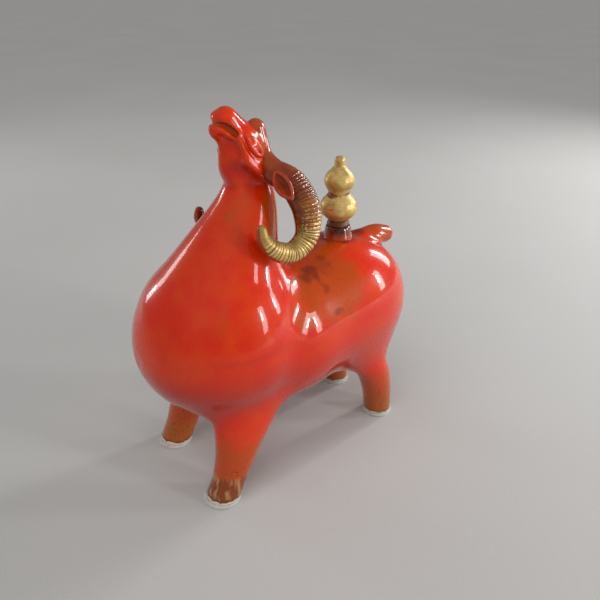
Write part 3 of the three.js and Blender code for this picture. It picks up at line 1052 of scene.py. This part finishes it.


# %% [markdown]
# ## Vermilion glaze
#
# A thick glossy glaze over white porcelain. Its red drifts between orange and crimson in
# clouds of a centimetre, with finer freckles. It breaks orange over sharp edges, and pools
# dark in hollows. Painted shade darkens it on the underside and under the jaw, and a painted
# shadow lies under the tip of the horn. Over it lies a hard clear gloss with a faint orange
# peel, so that a highlight has a crisp, slightly grainy edge. The lower front leg is speckled
# with iron, and its foot shows the streaky clay through clear glaze, the pale streaks with a
# painted reflection. The cream line where the glaze ends carries a painted highlight.

# %% Red glaze
vermilion, warm_red = (0.64, 0.019, 0.0006), (0.66, 0.037, 0.001)
crimson, shade_red = (0.37, 0.003, 0.0005), (0.34, 0.003, 0.0005)
orange, amber = (0.46, 0.054, 0.002), (0.36, 0.08, 0.005)
edge_orange, stain_and_shadow_brown = (0.6, 0.055, 0.004), (0.17, 0.011, 0.002)
red = Finish(
    "vermilion_glaze", vermilion, Coat_Weight=1.0, Coat_Roughness=0.05, Coat_IOR=1.41,
    Specular_IOR_Level=0.12)
cloud = red.noise(13)
freckle = red.noise(1.7, 4, 0.6)
blotch = red.noise(6, warp=0.2)
red.lay(red.step(cloud, 0.36, 0.66), warm_red)
red.lay(red.step(freckle, 0.5, 0.78, 0, 0.3), crimson)
thinness = red.plus(red.painted("thin"), red.step(blotch, 0.3, 0.7, -0.1, 0.1))
red.lay(red.step(thinness, 0.1, 0.55), orange)
red.lay(red.step(thinness, 0.6, 1.0), amber)
red.lay(red.painted("edge", 0.55), edge_orange)
red.lay(red.painted("hollow", 0.35), crimson)
# Painted shade, a darker red on the underside and under the jaw.
red.lay(red.painted("underside_shade", 0.65), shade_red)
# Brown stains, and the painted shadow under the tip of the horn.
stain_and_shadow_share = red.times(red.painted("stains_and_shadow"), red.step(blotch, 0.35, 0.66, 0.35, 1.35))
red.lay(red.step(stain_and_shadow_share, 0.05, 0.95, 0, 0.85), stain_and_shadow_brown)

# %% Feet: iron specks, bare streaks with a painted reflection, and the edge of the glaze with a painted highlight, in mm above the table
umber, rust, cream_edge_and_highlight = (0.055, 0.009, 0.004), (0.12, 0.03, 0.01), (0.62, 0.52, 0.4)
fired_clay, pale_clay_and_reflection = (0.16, 0.024, 0.005), (0.42, 0.24, 0.11)
above_table = red.height()
specks = red.step(red.noise(0.9, 2), 0.6, 0.7)
speck_band = red.times(
    red.step(above_table, 25, 16), red.step(above_table, 2.5, 5, 0.3, 1))
red.lay(red.times(specks, speck_band), umber)
# Streaks of bare clay on the front left foot. The pale ones also stand for a painted reflection
# in the glassy glaze.
streaks = red.noise(2.2, 2, stretch=(1, 1, 9), shift=1.5)
clay = red.mixed(red.step(streaks, 0.48, 0.62), fired_clay, pale_clay_and_reflection)
red.lay(red.painted("bare_foot", 0.7), clay)
wobble = red.plus(above_table, red.step(red.noise(3, 2), 0.3, 0.7, -0.4, 0.4))
red.lay(red.step(wobble, 4.6, 3.4, 0, 0.8), rust)
# A cream line where the glaze ends, made lighter by a painted highlight on its rolled edge.
red.lay(red.step(wobble, 3.2, 2.9), cream_edge_and_highlight)

peel = red.relief(red.noise(1.1, 2), 0.008)
ripple = red.relief(red.noise(7, 2), 0.05, peel)
red.use(
    Roughness=red.step(freckle, 0.3, 0.7, 0.24, 0.36), Normal=ripple, Coat_Normal=ripple)
red.put_on(sheep)

# %% [markdown]
# ## Horn glaze and dry-brushed gold
#
# Under the gold a horn is glazed from orange at the root through red-brown to dark brown. Then
# nearly dry gold paint was dragged over it, so it caught on the ribs and left the grooves.
# There is none at the root, flecks half way, and a full coat at the tip, but not on the outer
# edge of the curl or on its inner side. The bare inner side is darkened to maroon by painted
# shade and a painted reflection of the red neck, the bare outer edge carries a painted
# reflection of the red body, and the gold is lighter on the crests by a painted highlight.

# %% Horns
root_orange, red_brown = (0.4, 0.05, 0.004), (0.2, 0.018, 0.003)
dark_brown, cloud_brown = (0.11, 0.019, 0.002), (0.3, 0.06, 0.005)
ochre, groove_brown = (0.32, 0.085, 0.006), (0.035, 0.006, 0.002)
maroon_shade_and_reflection, edge_brown_and_reflection = (0.13, 0.004, 0.002), (0.36, 0.045, 0.004)
glaze = Finish(
    "horn_glaze_with_gold", root_orange, Coat_Roughness=0.05, Coat_IOR=1.45,
    Specular_IOR_Level=0.3)
along, crest_of = glaze.painted("along"), glaze.painted("crest")
outward, sideways = glaze.painted("outward"), glaze.painted("sideways")
cloud = glaze.noise(4, 4, 0.6)
fleck = glaze.noise(0.7, 3, 0.6)
glaze.lay(glaze.step(along, 0.08, 0.3), red_brown)
glaze.lay(glaze.step(along, 0.3, 0.5), dark_brown)
glaze.lay(glaze.step(cloud, 0.35, 0.7, 0, 0.5), cloud_brown)
ochre_side = glaze.times(
    glaze.step(sideways, 0.45, 0.95), glaze.step(along, 0.38, 0.5))
glaze.lay(glaze.times(ochre_side, 0.7), ochre)
glaze.lay(glaze.step(crest_of, 0.1, -0.8, 0, 0.8), groove_brown)
rough_edge = glaze.step(glaze.noise(1.5, 3, 0.6), 0.3, 0.7, -0.14, 0.14)
# The inner side of the curl is left bare of gold. Its maroon is the bare glaze with painted
# shade and a painted reflection of the red neck.
inner_side = glaze.times(
    glaze.step(glaze.plus(sideways, rough_edge), 0.2, -0.4),
    glaze.step(along, 0.2, 0.4))
glaze.lay(glaze.times(inner_side, 0.85), maroon_shade_and_reflection)
# The outer edge of the curl is left bare and orange-brown, with a painted reflection of the red
# body below it.
outer_edge = glaze.times(
    glaze.step(glaze.plus(outward, rough_edge), 0.66, 0.92),
    glaze.step(along, 0.56, 0.66))
glaze.lay(outer_edge, edge_brown_and_reflection)

# %% Gold on the horns
dull_gold, crest_gold_and_highlight = (0.24, 0.13, 0.025), (0.74, 0.52, 0.18)
old_gold = (0.24, 0.15, 0.035)
reach = glaze.step(along, 0.4, 0.74, -0.4, 0.5)
caught = glaze.step(crest_of, -0.7, 0.5, -0.42, 0.2)
coat = glaze.plus(reach, caught)
coat = glaze.plus(coat, glaze.step(fleck, 0.3, 0.75, -0.1, 0.5))
coat = glaze.plus(coat, glaze.step(cloud, 0.35, 0.65, -0.12, 0.12))
gold_share = glaze.step(coat, 0.2, 0.5)
for bare in (inner_side, outer_edge):
    gold_share = glaze.times(gold_share, glaze.step(bare, 0.1, 0.8, 1, 0))
# The gold is lighter on the crests, where it lies thicker, and this also paints a highlight on
# them.
gold = glaze.mixed(glaze.step(crest_of, -0.4, 0.45), dull_gold, crest_gold_and_highlight)
gold = glaze.mixed(glaze.step(cloud, 0.45, 0.7, 0, 0.7), gold, old_gold)
glaze.lay(gold_share, gold)
glaze.use(
    Metallic=glaze.times(gold_share, 0.5),
    Roughness=glaze.step(gold_share, 0, 1, 0.26, 0.42),
    Coat_Weight=glaze.step(gold_share, 0, 1, 1, 0.1),
    Normal=glaze.relief(fleck, 0.03),
    Coat_Normal=glaze.relief(glaze.noise(1.2, 2), 0.01))
glaze.put_on(horns["left"], horns["right"])

# %% [markdown]
# ## Old gilding on the gourd
#
# Matt gold paint over brown glaze, laid on with a brush that went round the gourd. The brush
# left fine level lines. The brown shows through in worn patches, and more so in the waist,
# at the seat and under the knob.

# %% Gourd
old_gold, pale_gold = (0.5, 0.33, 0.09), (0.74, 0.54, 0.2)
brush_brown = (0.16, 0.095, 0.025)
dark_brown, red_brown = (0.1, 0.035, 0.012), (0.2, 0.07, 0.018)
gilding = Finish("rubbed_gilding", old_gold, Coat_Weight=0.08, Coat_Roughness=0.25)
brush = gilding.noise(0.9, 4, 0.65, stretch=(7, 7, 0.6), shift=3.0)
patch = gilding.noise(4.5, 4, 0.6, warp=0.4)
wear = gilding.noise(2.2, 4, 0.6, stretch=(3, 3, 1))
gilding.lay(gilding.step(patch, 0.35, 0.65), pale_gold)
gilding.lay(gilding.step(brush, 0.53, 0.74, 0, 0.7), brush_brown)
# Brown shows in worn patches, and more in the waist, at the seat and under the knob.
browning = gilding.plus(
    gilding.painted("recess"), gilding.step(wear, 0.35, 0.7, -0.3, 0.3))
bare = gilding.step(browning, 0.42, 0.75)
brown_under = gilding.mixed(gilding.step(patch, 0.4, 0.6), dark_brown, red_brown)
gilding.lay(bare, brown_under)
gilding.use(
    Metallic=gilding.step(bare, 0, 1, 0.45, 0.1),
    Roughness=gilding.step(brush, 0.35, 0.7, 0.36, 0.55),
    Normal=gilding.relief(brush, 0.05, gilding.relief(patch, 0.08)))

# %% Where the gilding gives way to brown, in mm above the seat
gourd_z = points_of(gourd.data)[:, 2] - seat
waist = np.exp(-((gourd_z - 14.9) / 1.7) ** 2)
foot_ring = ease(-gourd_z, -4.4, -2)
neck_ring = 0.25 * np.exp(-((gourd_z - 27) / 1.3) ** 2)
keep_paint(gourd, "recess", 0.6 * waist + foot_ring + neck_ring)
gilding.put_on(gourd)

# %% [markdown]
# ## Brown glaze, ears and felt
#
# The collar was dipped in a brown glaze, nearly black where it is thick. The ears have the
# red-brown of the horn roots, with painted shade in their hollows, and their rims are bright
# from thin glaze and a painted highlight. The foot pads are grey-white felt.

# %% Collar
thick_brown, thin_brown, rust = (0.035, 0.007, 0.004), (0.2, 0.035, 0.01), (0.32, 0.08, 0.02)
foot_orange = (0.4, 0.045, 0.004)
gloss = {"Coat_Weight": 1, "Coat_Roughness": 0.04, "Coat_IOR": 1.45, "Specular_IOR_Level": 0.3}
brown = Finish("dipped_brown_glaze", thick_brown, **gloss)
run = brown.noise(3, 4, 0.6, stretch=(1, 1, 2.5))
brown.lay(brown.step(run, 0.38, 0.66), thin_brown)
brown.lay(brown.step(brown.noise(0.8), 0.55, 0.75, 0, 0.5), rust)
above_back = brown.plus(brown.height(), brown.step(run, 0.3, 0.7, -1.2, 1.2))
brown.lay(brown.step(above_back, rim_mm - 2.4, rim_mm - 4.6), foot_orange)
peel = brown.relief(brown.noise(1.2, 2), 0.02)
brown.use(Roughness=brown.step(run, 0.3, 0.7, 0.2, 0.35), Normal=peel, Coat_Normal=peel)
brown.put_on(collar_piece)

# %% Ears
red_brown, bright_brown = (0.36, 0.022, 0.005), (0.44, 0.06, 0.01)
shade_brown, rim_orange_and_highlight = (0.2, 0.02, 0.006), (0.6, 0.09, 0.02)
leaf = Finish("ear_glaze", red_brown, **gloss)
cloud = leaf.noise(3.5, 4, 0.6)
leaf.lay(leaf.step(cloud, 0.35, 0.65), bright_brown)
# Painted shade darkens the hollow of the leaf. The rims are lighter from thin glaze and a
# painted highlight.
leaf.lay(leaf.painted("hollow", 0.7), shade_brown)
leaf.lay(leaf.painted("edge", 0.7), rim_orange_and_highlight)
peel = leaf.relief(leaf.noise(1.1, 2), 0.01)
leaf.use(Roughness=leaf.step(cloud, 0.3, 0.7, 0.24, 0.34), Normal=peel, Coat_Normal=peel)
for ear in ears:
    bend = bend_of(ear.data, 2)
    keep_paint(ear, "edge", ease(bend, 0.4, 1.1))
    keep_paint(ear, "hollow", ease(-bend, 0.0, 0.25))
leaf.put_on(*ears)

# %% Felt pads
dark_felt, pale_felt, soiled = (0.34, 0.33, 0.31), (0.66, 0.64, 0.6), (0.3, 0.26, 0.21)
felt = Finish("grey_felt", dark_felt, Sheen_Weight=0.25, Sheen_Roughness=0.6)
fibre = felt.noise(0.35, 4, 0.7, stretch=(2.5, 1, 1), warp=1.2)
felt.lay(felt.step(fibre, 0.3, 0.7), pale_felt)
felt.lay(felt.step(felt.noise(2.5), 0.5, 0.75, 0, 0.35), soiled)
felt.use(Roughness=felt.step(fibre, 0.3, 0.7, 0.85, 1), Normal=felt.relief(fibre, 0.15))
felt.put_on(*foot_pieces)

# %% [markdown]
# ## Table and light
#
# A pale matt board runs to the horizon. Each softbox is a wide soft panel with a narrow
# bright strip in front of it, because the highlights in such glaze have a milky window with a
# sharp white core. Two stand on the sheep's left: one lights the chest and the shoulder, the
# other the haunch. A slim one stands in front of its right side, and one stands behind it.
# A soft fill without a highlight and a dim room open the shadows.

# %% Floor
floor_size = 60
bpy.ops.mesh.primitive_plane_add(size=floor_size)
floor = bpy.context.object
floor.name = "floor"
pale_grey, paler_grey = (0.47, 0.465, 0.455), (0.49, 0.485, 0.475)
grain_grey = (0.38, 0.37, 0.36)
board = Finish("pale_board", pale_grey)
grain = board.noise(1.2, 4, 0.6)
tone = board.noise(220, 2)
board.lay(board.step(tone, 0.3, 0.7), paler_grey)
board.lay(board.step(grain, 0.45, 0.7, 0, 0.12), grain_grey)
board.use(Roughness=board.step(grain, 0.3, 0.7, 0.75, 0.9), Normal=board.relief(grain, 0.05))
board.put_on(floor)
floor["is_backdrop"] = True


# %% Softboxes
aim = Vector((0, 0, 0.075))


def softbox(name, round_it, above_it, away, size, power):
    """A panel that faces the sheep from so many degrees round it and above the table."""
    light = bpy.data.lights.new(name, "AREA")
    light.shape = "RECTANGLE"
    light.size, light.size_y = size
    light.energy = power
    made, way = add_object(name, light), way_to(round_it, above_it)
    made.location = aim + way * away
    look(made, -way)


softbox("chest_panel", 121, 13, 0.9, (0.12, 0.46), 1.5)
softbox("chest_core", 119, 14, 0.87, (0.03, 0.2), 1.0)
softbox("haunch_panel", 148, 11, 0.9, (0.11, 0.36), 1.2)
softbox("haunch_core", 146, 13, 0.87, (0.035, 0.15), 0.9)
softbox("right_panel", -67, 12, 0.9, (0.12, 0.3), 0.5)
softbox("right_core", -68, 11, 0.87, (0.03, 0.08), 0.35)
softbox("back_panel", 178, 20, 0.9, (0.2, 0.42), 2.0)
softbox("back_core", 182, 24, 0.86, (0.05, 0.18), 1.0)

# %% A wide soft fill that leaves no highlight of its own
fill = add_object("fill", bpy.data.lights.new("fill", "SUN"))
fill.data.energy = 1.4
fill.data.angle = math.radians(70)
look(fill, Vector((-0.35, 0.5, -0.79)))
fill.visible_glossy = False

# %% A dim room with a wide soft glow over the camera
world = bpy.data.worlds.new("studio")
bpy.context.scene.world = world
world.use_nodes = True
room = world.node_tree
background = room.nodes["Background"]
feed(room, background.inputs["Color"], (1, 0.98, 0.95))
glow_from = Vector((0.35, -0.55, 0.76)).normalized()
looking = add_node(room, "TexCoord")["Generated"]
facing = add_node(
    room, "VectorMath", {0: looking, 1: glow_from}, operation="DOT_PRODUCT")["Value"]
room_light, glow_light = 0.17, 0.28
strength = soft_step(room, facing, -0.2, 1.0, room_light, glow_light)
feed(room, background.inputs["Strength"], strength)

# %% Measure the finished sheep
low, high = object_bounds()
print("visual size, mm:", [round(1000 * v, 2) for v in high - low])
